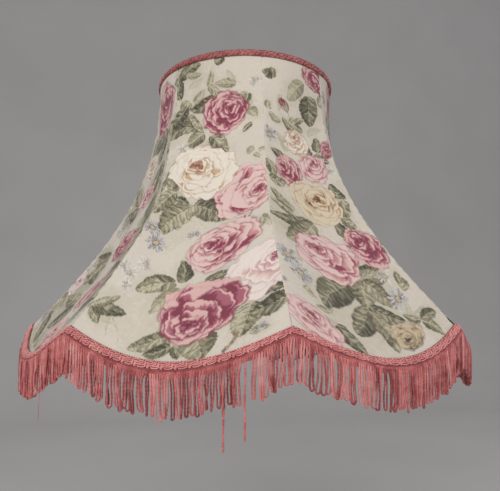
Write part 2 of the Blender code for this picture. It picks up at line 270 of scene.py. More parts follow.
def make_piece(name, points, faces, material, cloth=None, dye_and_painted_light=None, colour=None, body="shade"):
    """Smooth mesh object that rides on a body of the shade."""
    mesh = bpy.data.meshes.new(name)
    mesh.from_pydata(points.tolist(), [], faces.tolist())
    mesh.shade_smooth()
    if cloth is not None:
        layer = mesh.uv_layers.new(name="cloth")
        layer.data.foreach_set("uv", cloth[faces.ravel()].ravel())
    if dye_and_painted_light is not None:
        layer = mesh.attributes.new("dye_and_painted_light", "FLOAT", "POINT")
        layer.data.foreach_set("value", dye_and_painted_light.ravel())
    if colour is not None:
        layer = mesh.attributes.new("print", "FLOAT_COLOR", "POINT")
        layer.data.foreach_set("color", np.column_stack((colour, np.ones(len(colour)))).ravel())
    mesh.materials.append(material)
    piece = bpy.data.objects.new(name, mesh)
    scene.collection.objects.link(piece)
    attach(piece, body)
    return piece


fringe_yarn = viscose_yarn("viscose_yarn", YARN_DARK, YARN_INK, YARN_PALE)

# ---- long strands and stray thread -------------------------------------------------------
# Where the ends of the fringe meet, two loops have been pulled long. One still has its two
# legs wound round each other, the other is a single cut yarn. A hair-thin filament hangs
# from the next lobe. All are limp, and hang free from the heading.
FREE_OUTSET = 0.0046
HEADING_HEIGHT = 0.0045
WANDER = ((0, 0), (0.12, 0), (0.35, 0.5), (0.6, 1.0), (0.8, 0.7), (1, 1.0))
FREE_YARNS = (
    # name, angle in degrees, drop where it starts, length, sideways drift, thickness
    ("long_strand_1", -12.2, HEADING_HEIGHT + 0.0003, 0.058, 0.0010, 0.0020),
    ("long_strand_2", -8.4, HEADING_HEIGHT + 0.0003, 0.056, -0.0006, 0.0019),
    ("stray_thread", -52.4, 0.020, 0.040, 0.0008, 0.0006),
)

for name, degrees, start, length, drift, thick in FREE_YARNS:
    angle = math.radians(degrees)
    top = hanging(angle, start, FREE_OUTSET)
    sideways = np.array((math.cos(angle), math.sin(angle), 0))
    knots = [top + sideways * drift * wander - np.array((0, 0, length * share))
             for share, wander in WANDER]
    line = smooth_line(knots, 36)
    share = np.linspace(0, 1, len(line))
    tip = np.clip((1.015 - share) * 30, 0.15, 1)
    face = np.broadcast_to(outward(angle), line.shape)
    if name == "long_strand_1":
        spread = 0.0012 * (1 - ease(0.30, 0.62, share)) + 0.00052
        swing = 2 * math.pi * (share * 0.6 + 4.5 * ease(0.45, 1.0, share) * share)
        offset = sideways * np.cos(swing)[:, None] + face * np.sin(swing)[:, None]
        legs = [line + way * offset * spread[:, None] for way in (1, -1)]
        thickness = np.array([0.00125 * tip] * 2)
    else:
        legs = [line]
        thickness = thick * tip[None, :]
    points, faces, cloth = twist_yarn(legs, face, thickness, 0.8 * YARN_PITCH)
    dye_and_painted_light = np.full(len(points), 0.22)
    strand = make_piece(name + "_yarn", points, faces, fringe_yarn, cloth, dye_and_painted_light)
    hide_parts(name)

# ---- floor, backdrop and light -----------------------------------------------------------
# A plain pale floor that sweeps up into a plain backdrop, with a large soft light in front
# and a weaker fill from the right.
FLOOR_Z = cad_box[0][2] - 0.32
floor_profile = [(-2.2, 0.0), (1.5, 0.0)]
floor_profile += [(1.5 + 0.8 * math.sin(a), 0.8 - 0.8 * math.cos(a))
                  for a in np.linspace(0.1, math.pi / 2, 16)]
floor_profile.append((2.3, 3.0))
floor_points = np.array([(x, y, FLOOR_Z + z) for y, z in floor_profile for x in (-3.5, 3.5)])
studio, tree = new_material("matt_paint")
mottle = add(tree, "TexNoise", {"Vector": add(tree, "TexCoord").outputs["Object"],
                                "Scale": 3.0, "Detail": 3.0})
surface(tree, {"Base Color": ramp(tree, mottle.outputs["Fac"], ((0.3, "bbb8b6"), (0.7, "c0bdbb"))),
               "Roughness": 0.9})
mesh = bpy.data.meshes.new("floor")
mesh.from_pydata(floor_points.tolist(), [], grid_faces(len(floor_profile), 2)[:, ::-1].tolist())
mesh.shade_smooth()
mesh.materials.append(studio)
floor = bpy.data.objects.new("floor", mesh)
scene.collection.objects.link(floor)

for name, watts, size, spot, aim in (
        ("key", 29.5, 1.6, (-0.75, -1.9, 0.75), (0, 0, -0.1)),
        ("fill", 7.0, 2.0, (1.9, -1.2, 0.3), (0, 0, -0.1)),
        ("rim", 7.0, 1.5, (0.4, 1.2, 1.5), (0, 0, 0))):
    light = bpy.data.objects.new(name, bpy.data.lights.new(name, "AREA"))
    light.data.energy = watts
    light.data.size = size
    light.data.shape = "SQUARE"
    direction = Matrix.Translation(spot).to_translation() - Matrix.Translation(aim).to_translation()
    light.matrix_world = Matrix.Translation(spot) @ direction.to_track_quat("Z", "Y").to_matrix().to_4x4()
    scene.collection.objects.link(light)

world = bpy.data.worlds.new("studio")
world.use_nodes = True
world.node_tree.nodes["Background"].inputs["Color"].default_value = (*linear("dfe1e4"), 1)
world.node_tree.nodes["Background"].inputs["Strength"].default_value = 0.50
scene.world = world

# ---- printed cotton cover ----------------------------------------------------------------
# Glazed furnishing cotton with a rose print, cut as eight panels and sewn over the struts.
# The print is laid on in flat inks: a cream ground, grey-green leaves in three depths,
# roses in crimson, pink and cream, and small lilac daisies. All sizes are cloth millimetres.
GROUND = "d5cabb"
COVER_ROWS, COVER_COLUMNS = 440, 216
PRESS = {
    "crimson": ("84384a", "ab6170", "deb3ac"),
    "pink": ("8e3c53", "c98e8b", "e3c3bb"),
    "pale": ("a35a68", "d5afa7", "e9dacf"),
    "cream": ("9c6558", "c9ac86", "e7dccb"),
    "tan": ("743f33", "b89769", "dccaae"),
    "brown": ("4d4436", "94795a", "cdb797"),
    "dark": ("484537", "726d57", "aca489"),
    "mid": ("605b47", "928a70", "c1b89d"),
    "light": ("868069", "a8a086", "c5bca1"),
    "faint": ("b0a992", "c2b8a2", "cbc1ae"),
    "lilac": ("5f5a60", "949096", "c9c4be"),
    "white": ("89837f", "beb6b1", "ded7cd"),
}
inks = {name: [np.array(linear(shade)) for shade in shades] for name, shades in PRESS.items()}


class PrintedCloth:
    """Inks at each point of a panel; x runs across it from its middle and y down it."""

    def __init__(self, x, y):
        self.x, self.y = x, y
        self.ink = np.tile(np.array(linear(GROUND)), (len(x), 1))

    def near(self, x, y, reach, turn=0.0):
        """The points near a place, with their own axes turned."""
        dx, dy = self.x - x, self.y - y
        here = np.nonzero((np.abs(dx) < reach) & (np.abs(dy) < reach))[0]
        dx, dy = dx[here], dy[here]
        c, s = math.cos(turn), math.sin(turn)
        return here, dx * c + dy * s, dy * c - dx * s

    def lay(self, here, colour, cover):
        self.ink[here] += (colour - self.ink[here]) * cover[:, None]


def grain(x, y, seed):
    """Smooth random field with features about one unit wide, between -1 and 1."""
    table = np.random.default_rng(seed).uniform(-1, 1, (64, 64))
    i, j = np.floor(x).astype(int), np.floor(y).astype(int)
    u, v = x - i, y - j
    u, v = u * u * (3 - 2 * u), v * v * (3 - 2 * v)
    i, j, k, m = i % 64, j % 64, (i + 1) % 64, (j + 1) % 64
    upper = table[i, j] * (1 - u) + table[k, j] * u
    lower = table[i, m] * (1 - u) + table[k, m] * u
    return upper * (1 - v) + lower * v


def tone_colour(ink, tone):
    """Ink at a tone from 0, its palest, to 1, its deepest."""
    deep, middle, pale = ink
    first, second = ease(0.16, 0.40, tone)[:, None], ease(0.56, 0.76, tone)[:, None]
    return (pale * (1 - first) + middle * first) * (1 - second) + deep * second


def paint_petal(cloth, here, u, v, scale, place, size, facing, ink, depth, own, seed):
    """Petal of a rose: a fan with its foot in the shadow of the next and a turned, lit lip."""
    c, s = math.cos(facing), math.sin(facing)
    a = ((u - place[0]) * c + (v - place[1]) * s) / size
    b = ((v - place[1]) * c - (u - place[0]) * s) / size
    angle = np.arctan2(b, a)
    lip = 1 + 0.08 * np.sin(3 * angle + 40 * own) + 0.05 * np.sin(7 * angle + 60 * own)
    lip = lip - 0.14 * np.exp(-((angle - 3 * own) / 0.22) ** 2) + 0.03 * grain(angle * 6, 0 * a, seed)
    inside = (lip - np.hypot(a * 1.06, b * 0.84)) * size * scale
    near = inside > -2.5
    here, a, b, inside = here[near], a[near], b[near], inside[near]
    halo = (0.10 + 0.45 * depth) * (1.0 + 3.2 * own)
    cloth.lay(here, ink[0], np.exp(-(inside / (1.0 + 0.8 * depth)) ** 2) * (inside < 0.3)
              * np.clip(halo, 0.05, 0.95))
    fan = b / (a + 1.9)
    streak = 0.6 * grain(fan * 15 + 20, a * 1.0 + 5, seed) + 0.6 * grain(fan * 34 + 7, a * 1.4, seed + 2)
    tone = depth * 1.30 * ease(0.75, -0.75, a + 0.42 * streak) + 0.10 * streak + 1.3 * own
    tone += 0.45 * (depth - 0.6) * (depth > 0.7)
    tone += 0.55 * depth * ease(0.30, 0.8, b * math.copysign(1, own) + 0.2 * streak) * ease(1.1, 0.3, a)
    tone -= 0.42 * np.exp(-((inside - 1.4) / 1.1) ** 2)
    tone += (0.10 + 0.55 * depth) * np.exp(-(inside / 0.6) ** 2) * (0.5 + 0.6 * streak)
    cloth.lay(here, tone_colour(ink, tone), np.clip(inside / 0.8 + 0.5, 0, 1))


def paint_rose(cloth, x, y, wide, high, heart_x, heart_y, ink, depth, seed, turn=0):
    """Cabbage rose: rings of petals, outermost first, that close round a heart off its middle."""
    draw = np.random.default_rng(seed)
    here, u, v = cloth.near(x, y, 1.25 * max(wide, high), math.radians(turn))
    scale = (wide + high) / 2
    c, s = math.cos(math.radians(turn)), math.sin(math.radians(turn))
    heart = np.array((((heart_x - x) * c + (heart_y - y) * s) / wide,
                      ((heart_y - y) * c - (heart_x - x) * s) / high))
    u, v = u / wide, v / high
    # petals in the ring, their distance from its middle, their size, the pull to the heart
    for count, reach, size, pull in ((7, 0.60, 0.46, 0.0), (5, 0.44, 0.48, 0.30),
                                     (4, 0.30, 0.42, 0.65), (4, 0.19, 0.29, 0.9),
                                     (3, 0.10, 0.19, 1.0)):
        first = draw.uniform(0, 2 * math.pi)
        for petal in draw.permutation(count):
            facing = first + (petal + draw.uniform(-0.22, 0.22)) * 2 * math.pi / count
            place = heart * pull + np.array((math.cos(facing), math.sin(facing))) * reach
            lit = -0.10 * math.cos(facing + 2.2)
            own = lit + draw.uniform(-0.16, 0.16)
            paint_petal(cloth, here, u, v, scale, place, size * draw.uniform(0.9, 1.12),
                        facing + draw.uniform(-0.3, 0.3), ink, depth, own,
                        int(draw.integers(1, 9999)))
    a, b = u - heart[0], v - heart[1]
    radius, angle = np.hypot(a * 1.0, b * 1.35), np.arctan2(b, a)
    stripes = grain(angle * 6 + 30, radius * 7, seed + 3)
    tone = 0.80 + 0.5 * stripes
    inside = (0.22 * (1 + 0.25 * np.sin(3 * angle + seed)) - radius) * scale
    cloth.lay(here, tone_colour(ink, tone), np.clip(inside / 0.9 + 0.4, 0, 1))
    cloth.lay(here, ink[0] * 0.55, np.clip((0.09 - radius) * scale / 1.5 + 0.2, 0, 0.8))


def paint_leaf(cloth, x, y, long, wide, turn, ink, seed=0):
    """Rose leaf from its stalk, pointing along turn, with a toothed edge and side veins."""
    turn = math.radians(turn)
    seed = seed or int(abs(x) * 7 + abs(y) * 3) + 1
    long, wide = 1.06 * long, 1.18 * wide
    middle = (x + math.cos(turn) * long / 2, y + math.sin(turn) * long / 2)
    here, u, v = cloth.near(*middle, 0.72 * long + wide / 3, turn)
    share = np.clip(u / long + 0.5, 0, 1)
    v = v - 0.09 * long * math.sin(seed) * (np.sin(math.pi * share) - 0.3)
    teeth = max(long / 3.8, 4)
    saw = (share * teeth + 0.15 * grain(share * 9, v, seed)) % 1.0
    half = wide / 2 * np.sin(math.pi * share ** 0.72) ** 0.62 * (1.03 - 0.11 * saw)
    inside = np.where(np.abs(u) > long / 2, -9.0, half - np.abs(v))
    across = np.clip(np.abs(v) / np.maximum(half, 0.3), 0, 1)
    bow = share * teeth * 0.55 - across * 1.15 + 0.25 * across ** 2 + 0.22 * grain(u / 5, v / 5, seed + 8)
    veins = np.abs((bow % 1.0) - 0.5) * 2
    stroke = grain(bow * 2.6 + 9, across * 2.2, seed + 5)
    side = 1.0 if math.cos(seed * 2.1) > 0 else -1.0
    lit = side * np.tanh(v / 0.8)
    fine = grain(bow * 7 + 3, across * 3.4, seed + 9)
    tone = 0.44 + 0.18 * lit * (0.5 + 0.5 * across) + 0.26 * stroke + 0.24 * fine + 0.2 * across ** 3
    tone -= 0.26 * ease(0.70, 0.95, veins) * (1 - across ** 2)
    tone += 0.20 * ease(0.5, 0.1, veins) * across
    tone -= 0.55 * np.exp(-(v / 0.5) ** 2) * (1 - 0.6 * share)
    tone += 0.22 * np.exp(-((v - 0.9 * side) / 0.6) ** 2)
    tone += 0.30 * np.exp(-(inside / 0.6) ** 2)
    cloth.lay(here, tone_colour(ink, tone), np.clip(inside / 0.8 + 0.5, 0, 1))


def paint_daisy(cloth, x, y, size, ink, petals=13, seed=1):
    """Small daisy with narrow streaked petals and a cream eye."""
    draw = np.random.default_rng(seed)
    here, u, v = cloth.near(x, y, 1.2 * size)
    radius, angle = np.hypot(u, v), np.arctan2(v, u)
    turns = (angle + draw.uniform(0, 6)) * petals / (2 * math.pi)
    which = np.round(turns).astype(int) % petals
    reach = size * draw.uniform(0.72, 1.08, petals)[which]
    lobe = np.abs(np.cos(math.pi * turns))
    width = lobe - 0.30 - 0.45 * (radius / reach) ** 2
    inside = np.minimum(width * radius * 1.1 + 0.6, reach - radius)
    tone = 0.62 - 0.55 * ease(0.45, 0.95, lobe) + draw.uniform(-0.2, 0.35, petals)[which]
    tone += 0.35 * ease(0.5, 0.1, radius / size) + 0.25 * grain(turns * 4, radius / 2, seed)
    cloth.lay(here, tone_colour(ink, tone), np.clip(inside / 0.8 + 0.3, 0, 1) * 0.92)
    eye = grain(u / 0.9, v / 0.9, seed)
    colour = np.array(linear("ccb68c")) * (1 - 0.35 * ease(0.0, 0.8, eye))[:, None]
    cloth.lay(here, colour, np.clip((0.20 * size - radius) / 0.8 + 0.5, 0, 1))
    ring = np.exp(-((radius - 0.26 * size) / 0.6) ** 2) * ease(-0.3, 0.5, eye) * 0.6
    cloth.lay(here, ink[0] * 0.8, ring)


def paint_stem(cloth, places, thick, ink):
    """Stem or twig drawn through places, each (x, y)."""
    line = smooth_line([(x, y, 0) for x, y in places], 6 * len(places))[:, :2]
    middle = line.mean(0)
    here, u, v = cloth.near(*middle, np.abs(line - middle).max() + thick + 1)
    gap = np.full(len(here), 99.0)
    for px, py in line - middle:
        gap = np.minimum(gap, np.hypot(u - px, v - py))
    rough = grain(u / 1.5, v / 1.5, 5)
    cover = np.clip((thick / 2 * (1 + 0.3 * rough) - gap) / 0.7 + 0.5, 0, 1)
    cloth.lay(here, tone_colour(ink, 0.5 + 0.4 * rough), cover * 0.85)


def paint_bud(cloth, x, y, size, turn, ink):
    """Closed rosebud in its green sepals."""
    paint_rose(cloth, x, y, size, 0.62 * size, x + 0.3 * size, y, ink, 0.95, 31, turn)
    c, s = math.cos(math.radians(turn)), math.sin(math.radians(turn))
    for lean in (-28, 0, 26):
        paint_leaf(cloth, x - 1.2 * size * c, y - 1.2 * size * s, 1.5 * size, 0.36 * size,
                   turn + lean, inks["light"], 3)


# The three cuts of the print, back to front. A leaf is its stalk's x and y, its length, width,
# direction and ink. A rose is its middle, half width, half height, heart, ink, depth and seed.
# Most of the places in cuts one and two were copied from another program's output, and have
# still to be set out by hand. Those of cut three were set out one by one.
CUT_ONE_LEAVES = (
    (-13, 51, 19, 9, 140, "light"), (9, 4, 13, 11, 131, "dark"), (24, 38, 24, 9, 188, "light"),
    (-9, 38, 18, 7, -76, "light"), (-8, 37, 18, 10, 55, "light"), (-29, 56, 20, 8, -45, "light"),
    (-2, 51, 33, 13, 151, "dark"), (-36, 69, 18, 13, -117, "mid"), (-37, 73, 24, 16, 51, "mid"),
    (-52, 22, 34, 15, -22, "dark"), (-40, 20, 22, 8, 6, "light"), (-50, 24, 24, 14, 84, "dark"),
    (-36, 62, 34, 15, 140, "dark"), (-34, 78, 24, 15, 42, "mid"), (-28, 88, 42, 17, 168, "dark"),
    (-14, 95, 27, 14, 133, "mid"), (-4, 97, 29, 17, 46, "mid"), (28, 49, 22, 12, 57, "light"),
    (38, 51, 17, 8, 112, "mid"), (36, 70, 19, 9, 45, "light"), (44, 90, 13, 7, 138, "mid"),
    (-47, 179, 39, 18, -90, "mid"), (-54, 164, 36, 11, 131, "dark"), (-43, 178, 38, 16, 120, "mid"),
    (-19, 187, 45, 26, 25, "dark"), (-21, 190, 54, 23, 125, "mid"), (-40, 186, 15, 10, 12, "dark"),
    (45, 122, 9, 8, 120, "light"), (52, 130, 7, 5, -19, "light"), (48, 132, 10, 5, 60, "light"),
    (58, 221, 13, 7, 54, "light"), (62, 232, 12, 6, 164, "light"), (60, 226, 11, 5, 100, "light"),
    (-18, 285, 40, 18, 150, "mid"), (-9, 285, 25, 15, -107, "dark"), (11, 285, 28, 12, -11, "dark"),
    (-12, 293, 37, 13, 122, "light"), (-94, 345, 40, 13, -16, "dark"), (-93, 344, 34, 8, -42, "mid"),
    (-92, 346, 16, 10, 30, "mid"), (63, 326, 31, 26, 100, "mid"), (96, 336, 32, 20, 176, "dark"),
    (68, 318, 26, 10, 12, "dark"), (0, 341, 45, 15, 150, "mid"), (-2, 355, 24, 11, 152, "dark"),
    (2, 354, 14, 10, 73, "dark"), (18, 345, 26, 28, 69, "mid"), (66, 358, 16, 7, 5, "light"),
)
CUT_ONE_ROSES = (
    (34, 178, 33, 34, 54, 184, "pink", 0.60, 12, 0), (-12, 146, 40, 33, -19, 137, "cream", 0.42, 17, -28),
    (10, 71, 27, 24, 17, 66, "crimson", 0.98, 3, -20), (21, 243, 37, 27, 9, 238, "pink", 0.72, 8, -28),
    (64, 292, 33, 32, 79, 282, "pale", 0.40, 21, 15), (16, 317, 38, 33, 8, 334, "crimson", 0.92, 14, 0),
)
CUT_ONE_DAISIES = (
    (-60, 231, 10, "lilac", 2), (-51, 247, 13, "lilac", 4), (-40, 121, 11, "white", 5),
    (-16, 227, 6, "lilac", 6), (-9, 225, 5, "lilac", 7), (-68, 292, 11, "white", 8),
    (-55, 275, 9, "white", 9), (-76, 288, 8, "white", 10), (-66, 306, 8, "white", 11),
    (46, 36, 9, "white", 12), (76, 357, 5, "lilac", 13),
)
CUT_ONE_STEMS = (
    (((34, 205), (40, 214), (44, 222), (42, 235)), 2.2, "brown"),
    (((48, 209), (45, 214), (42, 217)), 2.0, "brown"),
    (((54, 353), (52, 360), (47, 367)), 3.6, "brown"), (((-71, 350), (-62, 349), (-56, 352)), 0.6, "mid"),
    (((-65, 344), (-57, 350), (-51, 361)), 0.8, "mid"), (((-67, 349), (-68, 355), (-66, 361)), 0.6, "mid"),
    (((60, 219), (62, 228), (57, 240)), 0.6, "light"),
)
CUT_TWO_LEAVES = (
    (20, 42, 37, 25, 90, "dark"), (9, 27, 31, 17, 127, "light"), (38, 37, 22, 12, 62, "mid"),
    (-6, 90, 19, 8, -135, "mid"), (-4, 80, 17, 7, -28, "mid"), (-5, 82, 14, 7, 24, "mid"),
    (-38, 72, 11, 7, -80, "light"), (-36, 82, 13, 7, 0, "light"), (-37, 76, 10, 6, 50, "light"),
    (-40, 30, 14, 12, -36, "dark"), (-30, 31, 12, 9, -100, "dark"), (-4, 73, 12, 5, 131, "light"),
    (16, 118, 22, 12, -147, "dark"), (26, 114, 18, 12, -86, "dark"), (18, 118, 23, 10, 28, "dark"),
    (-26, 134, 17, 12, -146, "dark"), (-48, 141, 21, 13, 84, "mid"), (-52, 168, 20, 12, -13, "mid"),
    (-32, 199, 28, 11, -144, "mid"), (-34, 206, 26, 9, -160, "mid"), (-14, 207, 52, 13, 166, "dark"),
    (-9, 209, 56, 23, 142, "mid"), (31, 158, 29, 11, 51, "dark"), (44, 182, 21, 15, 88, "mid"),
    (35, 201, 22, 11, 52, "mid"), (23, 208, 23, 14, 59, "dark"), (27, 226, 24, 11, 65, "dark"),
    (19, 278, 30, 20, -15, "dark"), (-4, 284, 58, 29, 143, "dark"), (15, 281, 38, 23, 110, "mid"),
    (11, 279, 43, 20, 10, "mid"), (19, 282, 42, 20, 61, "mid"), (4, 314, 46, 22, 136, "dark"),
    (7, 313, 38, 16, 38, "dark"), (3, 317, 44, 19, 84, "mid"), (-58, 318, 11, 5, -125, "light"),
    (-66, 312, 9, 5, -40, "light"), (-62, 329, 19, 6, -15, "light"), (-50, 342, 30, 17, 58, "dark"),
    (73, 310, 18, 12, -119, "mid"), (66, 300, 14, 9, -80, "mid"), (60, 343, 27, 12, 8, "dark"),
    (59, 343, 21, 8, -144, "mid"), (61, 345, 27, 11, 53, "mid"), (24, 356, 20, 6, -150, "dark"),
)
CUT_TWO_ROSES = (
    (34, 19, 25, 15, 29, 22, "crimson", 0.95, 41, 20), (-4, 105, 17, 15, -6, 97, "cream", 0.55, 42, 10),
    (-22, 146, 16, 21, -29, 142, "crimson", 0.75, 43, 15), (15, 135, 21, 17, 17, 128, "pink", 0.60, 44, 20),
    (5, 181, 36, 26, 10, 175, "tan", 0.50, 45, 25), (49, 248, 19, 31, 42, 234, "crimson", 0.85, 49, -32),
    (-10, 254, 38, 29, -20, 241, "pink", 0.62, 47, 10), (-76, 349, 25, 20, -73, 342, "pink", 0.55, 50, 25),
    (40, 112, 8, 11, 40, 112, "crimson", 0.8, 51, 0), (31, 350, 21, 14, 27, 354, "brown", 0.65, 52, 0),
)
CUT_TWO_DAISIES = (
    (-40, 106, 12, "lilac", 62), (38, 141, 10, "white", 63), (-66, 271, 15, "lilac", 64),
    (-61, 290, 15, "lilac", 65), (49, 313, 15, "lilac", 66), (51, 285, 11, "white", 67),
    (-85, 311, 5, "lilac", 68),
)
CUT_TWO_STEMS = (
    (((-13, 66), (-8, 76), (-5, 92)), 1.0, "mid"), (((25, 284), (45, 318), (60, 343)), 0.8, "light"),
    (((3, 318), (0, 334), (-4, 350)), 1.0, "pink"), (((20, 284), (30, 298), (36, 312)), 0.8, "pink"),
)
CUT_THREE_LEAVES = (
    (44, 176, 32, 15, 120, "mid"), (48, 190, 36, 16, 80, "dark"), (-40, 150, 30, 14, 40, "light"),
    (-46, 196, 34, 15, -30, "mid"), (60, 226, 40, 17, 140, "mid"), (64, 236, 36, 15, 60, "dark"),
    (-50, 262, 40, 18, 20, "dark"), (-56, 276, 38, 16, -50, "mid"), (84, 300, 40, 17, 130, "dark"),
    (80, 322, 36, 15, -140, "mid"), (-84, 322, 38, 16, -20, "mid"), (-74, 340, 42, 17, 30, "dark"),
    (36, 96, 30, 13, 60, "mid"), (-28, 100, 26, 12, -50, "mid"), (62, 262, 30, 13, 100, "light"),
    (24, 78, 40, 18, 150, "dark"), (20, 84, 34, 16, 100, "dark"), (27, 70, 26, 13, 60, "mid"),
    (-8, 80, 26, 14, 130, "mid"), (34, 28, 22, 12, -60, "dark"), (-26, 30, 24, 12, -120, "mid"),
    (30, 120, 40, 14, 95, "dark"), (22, 128, 36, 12, 120, "mid"), (34, 150, 34, 13, 78, "light"),
    (-20, 168, 30, 15, -150, "mid"), (-14, 176, 34, 16, 150, "dark"), (28, 196, 30, 12, -70, "dark"),
    (30, 206, 38, 15, 60, "mid"), (-26, 240, 36, 17, 160, "dark"), (-22, 248, 40, 16, 120, "mid"),
    (38, 262, 44, 17, -15, "mid"), (36, 268, 46, 19, 24, "dark"), (-10, 300, 40, 18, 170, "mid"),
    (-6, 308, 44, 18, 130, "dark"), (44, 318, 40, 16, -30, "mid"), (48, 326, 44, 18, 12, "dark"),
    (40, 334, 34, 14, 60, "mid"), (-48, 318, 30, 12, -160, "light"), (-66, 330, 28, 12, 140, "mid"),
    (70, 296, 22, 9, -50, "light"), (2, 350, 26, 13, 60, "dark"), (-34, 352, 26, 11, 20, "light"),
)
CUT_THREE_ROSES = (
    (4, 46, 25, 32, 8, 36, "crimson", 0.95, 71, 10), (-16, 118, 20, 17, -20, 112, "cream", 0.50, 72, 0),
    (2, 160, 20, 15, 8, 156, "pink", 0.70, 73, -20), (10, 226, 30, 21, 2, 220, "crimson", 0.95, 74, 12),
    (26, 292, 27, 20, 32, 288, "crimson", 0.80, 75, -15), (-70, 292, 22, 17, -66, 288, "pale", 0.45, 76, 0),
    (16, 344, 28, 18, 10, 340, "pink", 0.60, 77, 10),
)
CUT_THREE_DAISIES = (
    (-32, 66, 10, "lilac", 81), (-38, 200, 12, "lilac", 82), (-48, 212, 10, "white", 83),
    (48, 236, 12, "lilac", 84), (-58, 262, 11, "white", 85), (76, 344, 13, "lilac", 86),
    (-84, 348, 12, "lilac", 87), (34, 104, 9, "white", 88),
)
CUT_THREE_STEMS = (
    (((24, 76), (26, 98), (30, 120)), 1.2, "mid"), (((34, 178), (32, 190), (29, 205)), 1.6, "brown"),
    (((-22, 240), (-18, 262), (-9, 300)), 1.0, "mid"), (((44, 318), (52, 306), (70, 296)), 0.8, "mid"),
)
CUT_TWO_BUDS = ((-17, 60, 6.5, -130, "crimson"),)
# each cut with the depth of its shadow foliage, as an ink of "faint" and a cover
CUTS = (
    (CUT_ONE_LEAVES, CUT_ONE_STEMS, CUT_ONE_DAISIES, CUT_ONE_ROSES, (), 1, 0.42),
    (CUT_TWO_LEAVES, CUT_TWO_STEMS, CUT_TWO_DAISIES, CUT_TWO_ROSES, CUT_TWO_BUDS, 1, 0.42),
    (CUT_THREE_LEAVES, CUT_THREE_STEMS, CUT_THREE_DAISIES, CUT_THREE_ROSES, (), 0, 0.75),
)


def print_panel(cloth, cut, slip, seed):
    """Ink one panel with a cut of the print, slipped down the cloth by so many millimetres."""
    leaves, stems, daisies, roses, buds, shadow_ink, shadow_cover = CUTS[cut]
    draw = np.random.default_rng(seed)
    cloth.ink *= 1 + 0.022 * grain(cloth.x / 30, cloth.y / 30, seed)[:, None]
    for _ in range(26):
        x, y = draw.uniform(-95, 95), draw.uniform(0, 370)
        paint_leaf(cloth, x, y, draw.uniform(12, 24), draw.uniform(6, 11),
                   draw.uniform(0, 360), inks["faint"], int(draw.integers(1, 99)))
    for x, y, long, wide, turn, ink in leaves:
        here, u, v = cloth.near(x, y + slip, 1.6 * long, math.radians(turn))
        ragged = grain(u / 4.5, v / 2.2, 3) + 0.7 * grain(u / 2, v / 1.2, 4)
        reach = np.hypot((u - 0.6 * long) / (0.75 * long), v / (0.55 * long))
        cover = ease(1.15, 0.55, reach + 0.28 * ragged) * shadow_cover
        cloth.lay(here, inks["faint"][shadow_ink], cover)
    for x, y, long, wide, turn, ink in leaves:
        paint_leaf(cloth, x, y + slip, long, wide, turn, inks[ink])
    for places, thick, ink in stems:
        paint_stem(cloth, [(x, y + slip) for x, y in places], thick, inks[ink])
    for x, y, size, ink, own in daisies:
        paint_daisy(cloth, x, y + slip, size, inks[ink], 13, own)
    for x, y, wide, high, heart_x, heart_y, ink, depth, own, turn in roses:
        paint_rose(cloth, x, y + slip, wide, high, heart_x, heart_y + slip, inks[ink], depth, own, turn)
    for x, y, size, turn, ink in buds:
        paint_bud(cloth, x, y + slip, size, turn, inks[ink])


def printed_cotton():
    """Plain-weave cotton with slubs, softly glazed; its thread spacing is drawn coarse."""
    material, tree = new_material("printed_cotton")
    ink = add(tree, "Attribute", attribute_name="print").outputs["Color"]
    flat = add(tree, "UVMap", uv_map="cloth").outputs[0]
    thread_mm = 1.1           # true spacing is 0.5 mm, too fine to show
    waves = 1000 / thread_mm / 3.3
    warp = add(tree, "TexWave", {"Vector": flat, "Scale": waves, "Distortion": 0.8, "Detail": 1.0},
               bands_direction="X")
    weft = add(tree, "TexWave", {"Vector": flat, "Scale": waves, "Distortion": 0.8, "Detail": 1.0},
               bands_direction="Y")
    weave = add(tree, "Math", {0: warp.outputs["Fac"], 1: weft.outputs["Fac"]}, operation="ADD")
    slubs = []
    for stretch in ((900, 90, 1), (90, 900, 1)):
        drawn = add(tree, "Mapping", {"Vector": flat, "Scale": stretch})
        slubs.append(add(tree, "TexNoise", {"Vector": drawn.outputs[0], "Scale": 1.0,
                                            "Detail": 2.0}).outputs["Fac"])
    slub = add(tree, "Math", {0: slubs[0], 1: slubs[1]}, operation="ADD")
    height = add(tree, "Math", {0: weave.outputs[0], 1: 0.35, 2: slub.outputs[0]},
                 operation="MULTIPLY_ADD")
    # raised threads and slubs are inked lighter and the hollows of the weave darker: painted highlight and
    # painted shade
    level = add(tree, "MapRange", {0: height.outputs[0], 1: 0.9, 2: 1.8, 3: 0.93, 4: 1.05})
    worn = add(tree, "TexNoise", {"Vector": flat, "Scale": 14.0, "Detail": 4.0})
    age = add(tree, "MapRange", {0: worn.outputs["Fac"], 1: 0.3, 2: 0.7, 3: 0.965, 4: 1.02})
    weave_shade_and_wear = add(tree, "Math", {0: level.outputs[0], 1: age.outputs[0]}, operation="MULTIPLY")
    colour = add(tree, "VectorMath", {0: ink, 1: weave_shade_and_wear.outputs[0]}, operation="MULTIPLY")
    raised = add(tree, "Bump", {"Height": height.outputs[0], "Strength": 0.35, "Distance": 0.0004})
    surface(tree, {"Base Color": colour.outputs[0], "Roughness": 0.82,
                   "Normal": raised.outputs[0], "Sheen Weight": 0.12, "Sheen Roughness": 0.5})
    return material


